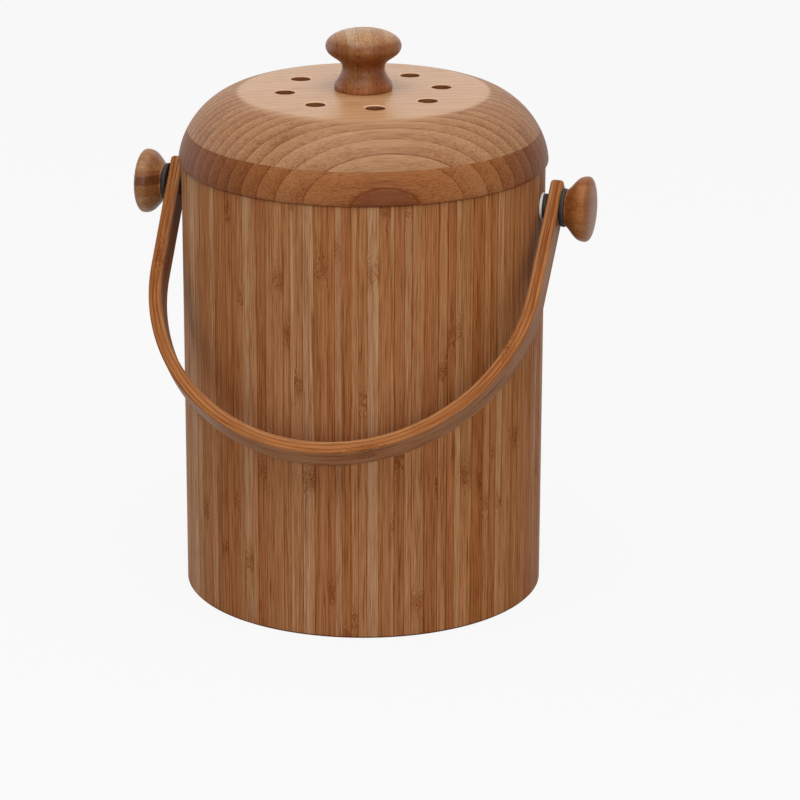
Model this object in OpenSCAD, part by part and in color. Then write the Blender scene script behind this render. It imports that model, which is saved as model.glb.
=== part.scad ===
// Countertop scrap pail of laminated bamboo: lift-off vented lid, lift-out liner and bent carrying bail.
// Millimetres. Origin at the centre of the flat base, +Z up, front to -Y; the bail turns about X.

/* [Pail wall] */
// Outer diameter of the turned wall
wall_d = 184; // [150:1:220]
// Height from the table to the top of the wall
wall_h = 223.5; // [160:0.5:260]
// Thickness of the staves
wall_t = 9; // [8:0.5:12]
// Number of staves glued into the ring
stave_count = 24; // [16:2:32]
// Thickness of the glue line between two staves
glue_gap = 0.06; // [0.04:0.01:0.2]
// Bevel on the outer edges at the top and bottom of the wall
wall_bevel = 0.6; // [0.2:0.1:1.5]

/* [Base board] */
// Thickness of the board that closes the bottom
base_t = 9; // [6:0.5:14]
// How far the board reaches under the staves
base_seat = 4; // [2:0.5:5.5]

/* [Liner ledge] */
// Width of the ledge turned into the top of the wall
ledge_w = 4.4; // [3.5:0.1:5]
// Gap between the liner's ears and the lid
ear_headroom = 0.7; // [0.4:0.1:3]

/* [Liner] */
// Thickness of the moulded liner
liner_t = 1.8; // [1.2:0.1:3]
// Gap between the liner and the wall at the mouth
liner_gap = 1.5; // [1:0.1:2.5]
// How much the radius shrinks down to the bottom
liner_taper = 5.5; // [2:0.5:12]
// Height of the liner above the base board
liner_foot_gap = 3; // [1:0.5:10]
// Radius of the bottom corner
liner_corner = 7; // [4:0.5:15]
// Thickness of the rim that hangs on the ledge
rim_t = 2; // [1.5:0.1:3]
// Gap between the rim and the step of the ledge
rim_gap = 0.4; // [0.3:0.1:1]
// Bevel at the liner's mouth
mouth_bevel = 0.6; // [0.3:0.1:1.2]

/* [Liner handle] */
// Width and height of the handle band
handle_s = 3.2; // [2.4:0.1:3.6]
// How far the grip stands proud of the band on each side
grip_extra = 0.5; // [0.2:0.1:0.8]
// Half of the angle that the grip spans
grip_angle = 24; // [10:1:45]
// Radius of the handle's pins
handle_pin_r = 1.5; // [1:0.1:1.5]
// How far the bosses at the handle's ends stand out past its band
boss_extra = 0.5; // [0.2:0.1:0.8]
// Gap between the handle's bosses and the rim
handle_lift = 0.2; // [0.2:0.1:1]
// Radius of the ears' round tops
ear_r = 3; // [2.6:0.1:3.6]
// Wall thickness of the two ears, along the pins
ear_t = 2; // [1.5:0.1:2.2]
// How far the ears stand back from the rim's edge
ear_setback = 0.2; // [0:0.1:0.4]
// Gap between the handle and the ears
ear_gap = 0.4; // [0.3:0.05:0.5]

/* [Lid] */
// How far the lid stands out past the wall
lid_overhang = 1.5; // [0.5:0.1:2.2]
// Height of the lid's side, from the wall up to its flat top
lid_h = 35.5; // [30:0.5:50]
// Thickness of the lower board
lower_board_t = 16; // [12:0.5:20]
// Width of the rounded side, seen from above
lid_side_w = 33.5; // [25:0.5:38]
// Exponent of the rounded side, where 2 is an ellipse
lid_round = 1.8; // [1.5:0.1:2.5]
// Rise of the top towards the knob
lid_crown = 0.7; // [0.4:0.1:3]
// Round under the lower edge
lid_lip = 1.2; // [0.4:0.1:2]
// How far the lid is turned on the pail
lid_turn = 22.5; // [0:0.5:45]
// Width of the spigot ring that enters the liner
spigot_w = 13.3; // [8:0.1:18]
// How far the spigot reaches below its seal ring
spigot_foot = 1.6; // [1:0.1:3]
// Bevel at the spigot's foot
spigot_bevel = 0.5; // [0.3:0.1:0.8]
// Thickness of the roof over the filter pocket
roof_t = 10; // [6:0.5:12]
// Width of the level seat round the knob's foot
knob_seat_edge = 1; // [0.5:0.1:3]

/* [Vents] */
// Number of vent holes
vent_count = 8; // [4:1:12]
// Diameter of a vent hole
vent_d = 10; // [5:0.5:14]
// Radius of the circle that the vents lie on
vent_ring_r = 39.7; // [30:0.5:46]
// Bevel at the mouth of a vent
vent_bevel = 0.5; // [0.2:0.1:1]

/* [Seal ring] */
// Height of the seal ring
seal_h = 2.4; // [1.5:0.1:3]
// Distance of the seal ring below the lid's lower board
seal_drop = 1; // [0.6:0.1:1.2]
// Depth of the groove that holds the seal ring
seal_groove = 1.5; // [1:0.1:2.5]
// How far the ring stands out of its groove
seal_proud = 2; // [1.2:0.1:2.4]
// Gap between the seal ring and the liner
seal_gap = 0.4; // [0.3:0.1:0.8]

/* [Filter] */
// Thickness of the charcoal filter pad
filter_t = 8; // [4:0.5:9]
// Gap between the pad and the cover round it
filter_gap = 0.3; // [0.2:0.1:1]
// How far the cover's wall stands above the pad
filter_lip = 1; // [0.5:0.1:2]
// Height of the cover's ring above the lid's lower face
cover_rise = 1; // [0.5:0.1:2]
// Gap between the cover and its ring
cover_gap = 0.3; // [0.3:0.05:0.6]
// Thickness of the ring glued into the pocket
filter_ring_t = 3; // [2:0.5:4]
// Wall of the cover
cover_t = 1.6; // [1.2:0.1:2.4]
// Thickness of the cover's flange
flange_t = 1.6; // [1.2:0.1:2.4]
// Gap between the flange and the pocket round it
flange_gap = 0.6; // [0.3:0.1:1.2]
// Gap between the flange and the ring above it
flange_seat = 0.2; // [0.1:0.1:0.5]
// Bevel at the top of the cover's wall
cover_bevel = 0.5; // [0.3:0.1:1]
// Radius of the grille's hub
hub_r = 8; // [6:0.5:12]
// Thickness of the cover's grille
grille_t = 2; // [1.5:0.1:3]
// Number of rings in the grille
grille_rings = 4; // [2:1:5]
// Number of spokes in the grille
grille_spokes = 12; // [6:2:16]
// Width of a grille bar
bar_w = 2.4; // [1.6:0.1:3]
// Height of the pull tab under the cover
tab_h = 3.4; // [2:0.1:4]
// Length of the pull tab
tab_l = 12.8; // [8:0.2:14]

/* [Lid knob] */
// Radius of the foot
knob_foot_r = 14.6; // [12:0.1:18]
// Radius of the neck
knob_neck_r = 10.7; // [8:0.1:12]
// Radius of the cap
knob_cap_r = 19.1; // [16:0.1:24]
// Height of the neck's narrowest point
knob_neck_h = 11.6; // [8:0.1:14]
// Height of the cap's widest point
knob_cap_h = 22.2; // [20:0.1:26]
// Overall height
knob_h = 30.8; // [27:0.1:34]
// Height of the bevel round the foot
knob_foot_h = 1.2; // [0.6:0.1:2]

/* [Side knobs] */
// Radius of the foot
side_foot_r = 9.6; // [8:0.1:12]
// Radius of the cap
side_cap_r = 16.4; // [14:0.1:20]
// Length from the foot to the cap's widest point
side_cap_l = 10.2; // [8:0.1:12]
// Overall length
side_l = 14.2; // [12:0.1:18]
// Bevel round the foot
side_foot_bevel = 0.5; // [0.3:0.1:1]

/* [Fasteners] */
// Radius of the screws' shanks
screw_r = 3; // [2:0.1:3.4]
// Radius of the screw heads
head_r = 5.2; // [4.4:0.1:5.8]
// Height of the screw heads
head_h = 2.8; // [2:0.1:3]
// Length of the slot across a screw head
slot_l = 8.4; // [6:0.1:8.8]
// Width of the slot
slot_w = 1; // [0.8:0.1:1.6]
// Depth of the slot
slot_depth = 1.3; // [0.8:0.1:1.6]
// Thickness of the steel washers
steel_washer_t = 1; // [0.6:0.1:1.2]
// Radius of the steel washers
steel_washer_r = 6.2; // [6:0.1:6.8]
// Gap round the heads and washers in their counterbores
head_gap = 0.4; // [0.2:0.1:0.8]
// Radius of the brass inserts
insert_r = 4.6; // [4.2:0.1:5.4]
// Length of the inserts in the side knobs
insert_l = 9; // [6:0.5:10]
// Length of the insert in the lid knob
lid_insert_l = 16; // [10:0.5:20]
// Room past the end of a screw or insert
blind_gap = 1; // [0.5:0.1:2]

/* [Bail] */
// Width of the bent strip
bail_w = 14.7; // [10:0.1:18]
// Thickness of each ply
ply_t = 2.2; // [1.4:0.1:3]
// Length of the straight arms, from the pivot down to the bend
bail_arm = 52; // [40:0.5:80]
// How far the arms lean in towards the bend
bail_lean = 2; // [0:0.1:2.4]
// How far the arms reach past the pivot
bail_tail = 12; // [10:0.5:20]
// Bevel along the strip's edges
bail_bevel = 0.7; // [0.3:0.1:1]
// Round at the arms' ends
tip_r = 1.8; // [0.8:0.1:2.2]
// Distance of the pivot below the top of the wall
pivot_drop = 18.6; // [16:0.1:40]
// Radial clearance of the screw in the bail
pivot_clearance = 0.06; // [0.03:0.01:0.1]
// Gap between the wall and the bail where it rests
bail_rest_gap = 2; // [0.5:0.1:5]

/* [Washers] */
// Radius of the nylon washers against the wall
nylon_r = 7; // [6:0.1:9]
// Thickness of the nylon washers
nylon_t = 1.3; // [0.8:0.1:2]
// Radius of the rubber washers inside the bail
inner_rubber_r = 6.6; // [6:0.1:9]
// Thickness of the rubber washers inside the bail
inner_rubber_t = 1.9; // [1:0.1:3]
// Radius of the rubber washers under the side knobs
outer_rubber_r = 9.8; // [8:0.1:11]
// Thickness of the rubber washers under the side knobs
outer_rubber_t = 2.2; // [1.5:0.1:4]
// Gap between the bail and the washers
slip_gap = 0.4; // [0.4:0.05:0.8]

/* [Hidden] */
$fn = 96;
// Points along one curved stretch of an outline
steps = 18;
// Overshoot of every cutting tool
over = 1;

wall_r = wall_d / 2;
bore_r = wall_r - wall_t;
base_r = bore_r + base_seat;
ledge_r = bore_r + ledge_w;
handle_boss_r = handle_s / 2 + boss_extra;
ledge_z = wall_h - ear_headroom - ear_r - handle_boss_r - handle_lift - rim_t;

liner_r = bore_r - liner_gap;
liner_foot_r = liner_r - liner_taper;
liner_z = base_t + liner_foot_gap;
mouth_r = liner_r - liner_t;
rim_r = ledge_r - rim_gap;
rim_z = ledge_z + rim_t;

ear_out = rim_r - ear_setback;
ear_in = ear_out - ear_t;
handle_out = ear_in - ear_gap;
handle_in = handle_out - handle_s;
handle_z = rim_z + handle_lift + handle_boss_r;

lid_r = wall_r + lid_overhang;
lid_z = wall_h;
lid_top_z = lid_z + lid_h + lid_crown;
roof_z = lid_z + lid_h - roof_t;
lid_flat_r = lid_r - lid_side_w;
seat_r = knob_foot_r + knob_seat_edge;
seal_r = mouth_r - seal_gap;
spigot_r = seal_r - seal_proud;
spigot_h = seal_drop + seal_h + spigot_foot;
groove_r = spigot_r - seal_groove;
pocket_r = spigot_r - spigot_w;

filter_ring_in = pocket_r - filter_ring_t;
cover_r = filter_ring_in - cover_gap;
cover_z = lid_z + cover_rise;
cover_wall_h = grille_t + filter_t + filter_lip;
grille_r = cover_r - cover_t - bar_w;

side_washers_t = nylon_t + inner_rubber_t;
bail_in = wall_r + side_washers_t + slip_gap;
bail_t = 3 * ply_t;
bail_out = bail_in + bail_t;
side_knob_x = bail_out + slip_gap + outer_rubber_t;
pivot_z = wall_h - pivot_drop;
counterbore_r = steel_washer_r + head_gap;
counterbore_x = bore_r + head_h + steel_washer_t;

// Radius of the bend's middle line, tangent to both leaning arms, and how far its centre lies below the pivot
bend_r = (bail_in + bail_t / 2 - bail_arm * sin(bail_lean)) / cos(bail_lean);
bend_drop = bail_arm * cos(bail_lean) - bend_r * sin(bail_lean);
bend_in = bend_r - bail_t / 2;

// Angle from straight down at which the bend comes to rest against the wall
rest_reach = bend_drop + bend_in;
rest_span = sqrt(rest_reach * rest_reach + bail_w * bail_w / 4);
bail_hang = asin((wall_r + bail_rest_gap) / rest_span) + atan(bail_w / 2 / rest_reach);

bamboo_light = [0.80, 0.60, 0.42];
bamboo_tan = [0.72, 0.50, 0.32];
bamboo_warm = [0.68, 0.44, 0.25];
bamboo_dark = [0.58, 0.37, 0.22];
rubber_black = [0.07, 0.06, 0.06];
nylon_white = [0.90, 0.90, 0.87];
steel_grey = [0.70, 0.71, 0.73];
brass_yellow = [0.80, 0.62, 0.28];
liner_cream = [0.86, 0.86, 0.82];
charcoal_black = [0.10, 0.10, 0.11];

// Points of a cubic curve from a to d, pulled towards b and c, without its first point
function curve(a, b, c, d) = [
    for (i = [1 : steps])
        let (t = i / steps, s = 1 - t)
            s * s * s * a + 3 * s * s * t * b + 3 * s * t * t * c + t * t * t * d
];

// Points of an arc about a centre, both ends included
function arc(centre, r, from, to) = [
    for (i = [0 : steps])
        let (a = from + (to - from) * i / steps)
            centre + r * [cos(a), sin(a)]
];

// Radius of the lid's rounded side at a height above the wall
function lid_side(h) =
    lid_flat_r + (lid_r - lid_flat_r) * pow(max(0, 1 - pow(h / lid_h, lid_round)), 1 / lid_round);

// What is modelled at the right end of the pivot axis, and its mirror image at the left end
module both_ends() {
    children();
    mirror([1, 0, 0]) children();
}

// A cylinder along the pivot axis, from one distance from the centre to another
module along_pivot(r, from, to) {
    translate([from, 0, pivot_z]) rotate([0, 90, 0]) cylinder(r = r, h = to - from);
}

// A washer on the pivot axis
module pivot_washer(r, from, t) {
    difference() {
        along_pivot(r, from, from + t);
        along_pivot(screw_r, from - over, from + t + over);
    }
}

// One stave: a sector of the wall, stepped for the base board below and for the liner above
module stave() {
    half = 180 / stave_count - asin(glue_gap / 2 / wall_r);
    rotate([0, 0, -half]) rotate_extrude(angle = 2 * half)
        polygon([
            [base_r, 0], [wall_r - wall_bevel, 0], [wall_r, wall_bevel],
            [wall_r, wall_h - wall_bevel], [wall_r - wall_bevel, wall_h], [ledge_r, wall_h],
            [ledge_r, ledge_z], [bore_r, ledge_z], [bore_r, base_t], [base_r, base_t]
        ]);
}

module wall_staves() {
    color(bamboo_tan) difference() {
        for (i = [0 : stave_count - 1]) rotate([0, 0, 360 * i / stave_count]) stave();
        both_ends() {
            along_pivot(screw_r, bore_r - over, wall_r + over);
            along_pivot(counterbore_r, bore_r - wall_t, counterbore_x);
        }
    }
}

module base_board() {
    color(bamboo_light) cylinder(r = base_r, h = base_t);
}

// A slotted screw that stands on the under side of its head, its shank up
module slotted_screw(shank_l) {
    cylinder(r = screw_r, h = shank_l);
    difference() {
        translate([0, 0, -head_h]) cylinder(r = head_r, h = head_h);
        translate([0, 0, -head_h]) cube([slot_l, slot_w, 2 * slot_depth], center = true);
    }
}

module pivot_screws() {
    under_head = counterbore_x - steel_washer_t;
    color(steel_grey) both_ends()
        translate([under_head, 0, pivot_z]) rotate([0, 90, 0])
            slotted_screw(side_knob_x + insert_l - under_head);
}

module screw_washers() {
    color(steel_grey) both_ends()
        pivot_washer(steel_washer_r, counterbore_x - steel_washer_t, steel_washer_t);
}

module nylon_washers() {
    color(nylon_white) both_ends() pivot_washer(nylon_r, wall_r, nylon_t);
}

module inner_rubber_washers() {
    color(rubber_black) both_ends() pivot_washer(inner_rubber_r, wall_r + nylon_t, inner_rubber_t);
}

module outer_rubber_washers() {
    color(rubber_black) both_ends() pivot_washer(outer_rubber_r, bail_out + slip_gap, outer_rubber_t);
}

// A turned side knob on the pivot axis, its foot towards the pail
module side_knob() {
    foot = [side_foot_r, side_foot_bevel];
    widest = [side_cap_r, side_cap_l];
    flare = side_cap_l - side_foot_bevel;
    dome = side_l - side_cap_l;
    translate([side_knob_x, 0, pivot_z]) rotate([0, 90, 0]) difference() {
        rotate_extrude() polygon(concat(
            [[0, 0], [side_foot_r - side_foot_bevel, 0], foot],
            curve(foot, foot + [flare * 0.4, flare * 0.4], widest - [0, flare * 0.5], widest),
            curve(widest, widest + [0, dome * 0.71], [side_cap_r * 0.67, side_l], [0, side_l])
        ));
        translate([0, 0, -over]) cylinder(r = insert_r, h = insert_l + blind_gap + over);
    }
}

module right_knob() {
    color(bamboo_warm) side_knob();
}

module left_knob() {
    color(bamboo_warm) mirror([1, 0, 0]) side_knob();
}

module knob_inserts() {
    color(brass_yellow) both_ends() difference() {
        along_pivot(insert_r, side_knob_x, side_knob_x + insert_l);
        along_pivot(screw_r, side_knob_x - over, side_knob_x + insert_l + over);
    }
}

// Section of one ply: the distance from the pail across, the strip's width up, bevelled on its open side
module ply_section(layer) {
    low = layer * ply_t;
    high = low + ply_t;
    w = bail_w / 2;
    cut = w - bail_bevel;
    inner_side = [[low + bail_bevel, w], [low, cut], [low, -cut], [low + bail_bevel, -w]];
    outer_side = [[high - bail_bevel, -w], [high, -cut], [high, cut], [high - bail_bevel, w]];
    translate([bend_in, 0]) polygon(concat(
        layer == 0 ? inner_side : [[low, w], [low, -w]],
        layer == 2 ? outer_side : [[high, -w], [high, w]]
    ));
}

// Side view of one arm, rounded at its free end
module arm_outline() {
    reach = bail_arm + bail_tail;
    translate([bend_in, 0]) {
        translate([0, -over]) square([bail_t, reach - tip_r + over]);
        translate([tip_r, 0]) square([bail_t - 2 * tip_r, reach]);
        for (x = [tip_r, bail_t - tip_r]) translate([x, reach - tip_r]) circle(r = tip_r);
    }
}

// Half of one ply about the bend's centre: a straight arm that leans out over a quarter of the bend
module half_ply(layer) {
    intersection() {
        rotate([0, bail_lean, 0]) {
            intersection() {
                linear_extrude(height = bail_arm + bail_tail) ply_section(layer);
                rotate([90, 0, 0]) linear_extrude(height = 2 * bail_w, center = true) arm_outline();
            }
            rotate([-90, 0, 0]) rotate_extrude(angle = 90) ply_section(layer);
        }
        translate([0, -bail_w, -2 * bail_out]) cube([2 * bail_out, 2 * bail_w, 4 * bail_out]);
    }
}

// One ply of the bail, drilled at the pivot and hung at its rest angle
module bail_ply(layer) {
    translate([0, 0, pivot_z]) rotate([-bail_hang, 0, 0]) difference() {
        translate([0, 0, -bend_drop]) both_ends() half_ply(layer);
        rotate([0, 90, 0])
            cylinder(r = screw_r + pivot_clearance, h = 2 * bail_out + 2 * over, center = true);
    }
}

module bail_inner_ply() {
    color(bamboo_warm) bail_ply(0);
}

module bail_middle_ply() {
    color(bamboo_tan) bail_ply(1);
}

module bail_outer_ply() {
    color(bamboo_warm) bail_ply(2);
}

// An ear on the liner's rim that holds one pin of the handle
module liner_ear() {
    difference() {
        union() {
            translate([ear_in, 0, handle_z]) rotate([0, 90, 0]) cylinder(r = ear_r, h = ear_t);
            translate([ear_in, -ear_r, rim_z - rim_t / 2])
                cube([ear_t, 2 * ear_r, handle_z - rim_z + rim_t / 2]);
        }
        translate([ear_in - over, 0, handle_z]) rotate([0, 90, 0])
            cylinder(r = handle_pin_r + pivot_clearance, h = ear_t + 2 * over);
    }
}

module liner_bucket() {
    outer_corner = [liner_foot_r - liner_corner, liner_z + liner_corner];
    color(liner_cream) {
        rotate_extrude() polygon(concat(
            [[0, liner_z]],
            arc(outer_corner, liner_corner, -90, 0),
            [[liner_r, ledge_z], [rim_r, ledge_z], [rim_r, rim_z],
            [mouth_r + mouth_bevel, rim_z], [mouth_r, rim_z - mouth_bevel]],
            arc(outer_corner, liner_corner - liner_t, 0, -90),
            [[0, liner_z + liner_t]]
        ));
        both_ends() liner_ear();
    }
}

// A stretch of the handle's band about the front, with its section grown by some amount
module handle_band(half_angle, extra) {
    s = handle_s + 2 * extra;
    translate([0, 0, handle_z]) rotate([0, 0, -90 - half_angle]) rotate_extrude(angle = 2 * half_angle)
        translate([handle_in + handle_s / 2, 0]) square([s, s], center = true);
}

module liner_handle() {
    color(nylon_white) {
        handle_band(90, 0);
        handle_band(grip_angle, grip_extra);
        both_ends() {
            translate([handle_in, 0, handle_z]) rotate([0, 90, 0]) cylinder(r = handle_boss_r, h = handle_s);
            translate([handle_out - over, 0, handle_z]) rotate([0, 90, 0])
                cylinder(r = handle_pin_r, h = over + ear_gap + ear_t);
        }
    }
}

module lid_lower_board() {
    color(bamboo_dark) translate([0, 0, lid_z]) rotate_extrude() polygon(concat(
        [[pocket_r, 0], [lid_side(lid_lip) - lid_lip, 0]],
        [for (i = [0 : steps]) let (h = lid_lip + (lower_board_t - lid_lip) * i / steps) [lid_side(h), h]],
        [[pocket_r, lower_board_t]]
    ));
}

// A ring glued under the lid, grooved for the seal, that enters the liner's mouth
module lid_spigot() {
    groove_z = -seal_drop - seal_h;
    color(bamboo_tan) translate([0, 0, lid_z]) rotate_extrude() polygon([
        [pocket_r, -spigot_h], [spigot_r - spigot_bevel, -spigot_h], [spigot_r, spigot_bevel - spigot_h],
        [spigot_r, groove_z], [groove_r, groove_z], [groove_r, -seal_drop], [spigot_r, -seal_drop],
        [spigot_r, 0], [pocket_r, 0]
    ]);
}

// Rise of the lid's top above its flat radius, level under the knob and falling away outside it
function crown(r) = lid_crown * (1 - pow(max(0, r - seat_r) / (lid_flat_r - seat_r), 2));

// A vent hole with a bevelled mouth
module vent() {
    mouth_z = lid_z + lid_h + crown(vent_ring_r);
    translate([0, 0, roof_z - over]) cylinder(d = vent_d, h = roof_t + lid_crown + 2 * over);
    translate([0, 0, mouth_z - vent_bevel])
        cylinder(r1 = vent_d / 2, r2 = vent_d / 2 + 2 * vent_bevel, h = 2 * vent_bevel);
}

module lid_upper_board() {
    rise = lid_h - lower_board_t;
    color(bamboo_light) difference() {
        translate([0, 0, lid_z]) rotate_extrude() polygon(concat(
            [[0, lid_h - roof_t], [pocket_r, lid_h - roof_t], [pocket_r, lower_board_t]],
            [for (i = [0 : steps]) let (h = lower_board_t + rise * sin(90 * i / steps)) [lid_side(h), h]],
            [for (i = [1 : steps])
                let (r = lid_flat_r + (seat_r - lid_flat_r) * i / steps)
                    [r, lid_h + crown(r)]],
            [[0, lid_h + lid_crown]]
        ));
        for (i = [0 : vent_count - 1])
            rotate([0, 0, lid_turn - 90 + 360 * i / vent_count]) translate([vent_ring_r, 0, 0]) vent();
        translate([0, 0, roof_z - over]) cylinder(r = screw_r, h = roof_t + lid_crown + 2 * over);
    }
}

module lid_seal_ring() {
    color(nylon_white) translate([0, 0, lid_z - seal_drop - seal_h]) rotate_extrude() polygon([
        [groove_r, 0], [spigot_r, 0], [seal_r, seal_h * 0.4],
        [seal_r, seal_h * 0.7], [spigot_r, seal_h], [groove_r, seal_h]
    ]);
}

module lid_knob() {
    foot = [knob_foot_r, knob_foot_h];
    neck = [knob_neck_r, knob_neck_h];
    widest = [knob_cap_r, knob_cap_h];
    cove = knob_neck_h - knob_foot_h;
    flare = knob_cap_h - knob_neck_h;
    dome = knob_h - knob_cap_h;
    color(bamboo_warm) translate([0, 0, lid_top_z]) difference() {
        rotate_extrude() polygon(concat(
            [[0, 0], [knob_foot_r - knob_foot_h / 4, 0], foot],
            curve(foot, foot + [0, cove * 0.4], neck - [0, cove * 0.5], neck),
            curve(neck, neck + [0, flare * 0.43], widest - [0, flare * 0.49], widest),
            curve(widest, widest + [0, dome * 0.57], [knob_cap_r * 0.57, knob_h], [0, knob_h])
        ));
        translate([0, 0, -over]) cylinder(r = insert_r, h = lid_insert_l + blind_gap + over);
    }
}

module lid_knob_insert() {
    color(brass_yellow) translate([0, 0, lid_top_z]) difference() {
        cylinder(r = insert_r, h = lid_insert_l);
        translate([0, 0, -over]) cylinder(r = screw_r, h = lid_insert_l + 2 * over);
    }
}

module lid_knob_screw() {
    under_head = roof_z - steel_washer_t;
    color(steel_grey) translate([0, 0, under_head]) slotted_screw(lid_top_z + lid_insert_l - under_head);
}

module lid_knob_washer() {
    color(steel_grey) translate([0, 0, roof_z - steel_washer_t]) difference() {
        cylinder(r = steel_washer_r, h = steel_washer_t);
        translate([0, 0, -over]) cylinder(r = screw_r, h = steel_washer_t + 2 * over);
    }
}

module filter_ring() {
    color(nylon_white) translate([0, 0, cover_z]) rotate_extrude()
        translate([filter_ring_in, 0]) square([filter_ring_t, cover_wall_h]);
}

// A flat ring of the grille
module grille_ring(r, w) {
    difference() {
        cylinder(r = r + w / 2, h = grille_t);
        translate([0, 0, -over]) cylinder(r = r - w / 2, h = grille_t + 2 * over);
    }
}

module filter_cover() {
    wall_in = cover_r - cover_t;
    pitch = (wall_in - hub_r) / grille_rings;
    flange_r = pocket_r - flange_gap;
    color(nylon_white) translate([0, 0, cover_z]) {
        rotate_extrude() polygon([
            [grille_r, -flange_seat - flange_t], [flange_r, -flange_seat - flange_t],
            [flange_r, -flange_seat],
            [cover_r, -flange_seat], [cover_r, cover_wall_h - cover_bevel],
            [cover_r - cover_bevel, cover_wall_h],
            [wall_in, cover_wall_h], [wall_in, grille_t], [grille_r, grille_t]
        ]);
        cylinder(r = hub_r, h = grille_t);
        for (i = [1 : grille_rings - 1]) grille_ring(hub_r + i * pitch, bar_w);
        for (i = [0 : grille_spokes - 1])
            rotate([0, 0, 360 * i / grille_spokes]) translate([hub_r / 2, -bar_w / 2, 0])
                cube([grille_r + bar_w / 2 - hub_r / 2, bar_w, grille_t]);
        translate([-tab_l / 2, -bar_w / 2, -tab_h]) cube([tab_l, bar_w, tab_h + grille_t / 2]);
    }
}

module charcoal_filter() {
    color(charcoal_black) translate([0, 0, cover_z + grille_t])
        cylinder(r = cover_r - cover_t - filter_gap, h = filter_t);
}

wall_staves();
base_board();
pivot_screws();
screw_washers();
nylon_washers();
inner_rubber_washers();
outer_rubber_washers();
left_knob();
right_knob();
knob_inserts();
bail_inner_ply();
bail_middle_ply();
bail_outer_ply();
liner_bucket();
liner_handle();
lid_lower_board();
lid_upper_board();
lid_spigot();
lid_seal_ring();
lid_knob();
lid_knob_insert();
lid_knob_screw();
lid_knob_washer();
filter_ring();
filter_cover();
charcoal_filter();
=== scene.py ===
"""Bamboo scrap pail with a lift-off vented lid, dressed in Blender 4.5 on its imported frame, in metres."""

import math

import bpy
from bpy.props import FloatProperty, FloatVectorProperty, IntProperty, PointerProperty
from mathutils import Matrix, Vector


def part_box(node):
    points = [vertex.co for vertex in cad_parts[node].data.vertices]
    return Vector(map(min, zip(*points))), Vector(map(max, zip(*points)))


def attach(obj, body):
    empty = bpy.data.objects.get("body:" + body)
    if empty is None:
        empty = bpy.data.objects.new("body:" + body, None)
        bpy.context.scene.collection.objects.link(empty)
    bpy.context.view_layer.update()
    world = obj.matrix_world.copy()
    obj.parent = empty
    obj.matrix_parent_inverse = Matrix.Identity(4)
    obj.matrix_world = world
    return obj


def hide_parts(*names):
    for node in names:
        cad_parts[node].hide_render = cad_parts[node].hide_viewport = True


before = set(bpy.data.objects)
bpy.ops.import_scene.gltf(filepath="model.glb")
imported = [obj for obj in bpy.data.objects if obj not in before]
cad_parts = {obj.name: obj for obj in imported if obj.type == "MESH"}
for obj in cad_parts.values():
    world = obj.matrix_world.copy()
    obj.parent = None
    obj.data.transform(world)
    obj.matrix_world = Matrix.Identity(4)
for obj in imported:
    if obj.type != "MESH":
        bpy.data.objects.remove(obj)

bl_info = {
    "name": "Bamboo scrap pail",
    "version": (1, 0, 0),
    "blender": (4, 5, 0),
    "location": "3D View > Sidebar > Pail",
    "description": "Turned bamboo lid, knobs and bail for a countertop scrap pail, with its finishes, light and camera",
    "category": "Add Mesh",
}

MM = 0.001
# Places closer than this are the same
NEAR = 1e-5
# Rings this far inside a turned corner keep the flat beside it flat
INSET = 6 * MM
STAVES = 24

# Lowest and highest corners of nodes in the frame
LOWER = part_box("lid_lower_board")
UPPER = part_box("lid_upper_board")
LID_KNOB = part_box("lid_knob")
RIGHT_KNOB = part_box("right_knob")
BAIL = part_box("bail_outer_ply")
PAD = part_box("charcoal_filter")
PIVOT_Z = (RIGHT_KNOB[0].z + RIGHT_KNOB[1].z) / 2

# Inputs of the node group that draws bamboo strips
NUMBERS = ("Along", "Across", "Through", "Strip Width", "Unevenness", "Seed", "Knuckle Spacing", "Glue Lines", "Fibres",
           "Speckles", "Tone Spread", "Dense Side", "End Grain")
TONES = ("Straw", "Tan", "Ginger", "Umber")


def setting(kind, **how):
    """A kind of property that the user can change, to be given a name, a description and a default."""
    return lambda name, description, default: kind(name=name, description=description, default=default, **how)


number = setting(FloatProperty)
length = setting(FloatProperty, unit="LENGTH")
angle = setting(FloatProperty, subtype="ANGLE")
power = setting(FloatProperty, unit="POWER")
tone = setting(FloatVectorProperty, subtype="COLOR", size=3)


class PailLidSizes(bpy.types.PropertyGroup):
    """Sizes of the turned lid."""

    radius: length("Radius", "Radius of the lid where it meets the wall", max(UPPER[1].x, LOWER[1].x))
    flat_radius: length("Flat radius", "Radius of the nearly level top", 60 * MM)
    roundness: number("Roundness", "Exponent of the rounded side, where 2 is an ellipse", 1.8)
    crown: length("Crown", "Rise of the top towards the knob", 0.7 * MM)
    pocket_radius: length("Pocket radius", "Radius of the hollow under the lid", 64 * MM)
    roof: length("Roof", "Thickness of the board over the hollow", 10 * MM)
    seat_radius: length("Seat radius", "Radius of the level seat under the knob", 15.6 * MM)
    lip: length("Lip", "Round under the lid's lower edge", 1.2 * MM)
    seam: length("Seam", "Tiny bevel on both boards at their joint", 0.12 * MM)
    vents: IntProperty(name="Vents", description="Number of vent holes", default=8, min=1, max=16)
    vent_radius: length("Vent radius", "Radius of a vent hole", 5 * MM)
    vent_circle: length("Vent circle", "Radius of the circle of vents", 39.7 * MM)
    vent_flare: length("Vent flare", "Round at the mouth of a vent", 0.7 * MM)
    screw_radius: length("Screw radius", "Radius of the knob's screw", 3 * MM)
    turn: angle("Turn", "How far the lid is turned on the pail", math.radians(22.5))
    skew: angle("Skew", "Turn of the lower board's strips against the upper board's", 0.031)


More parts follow.
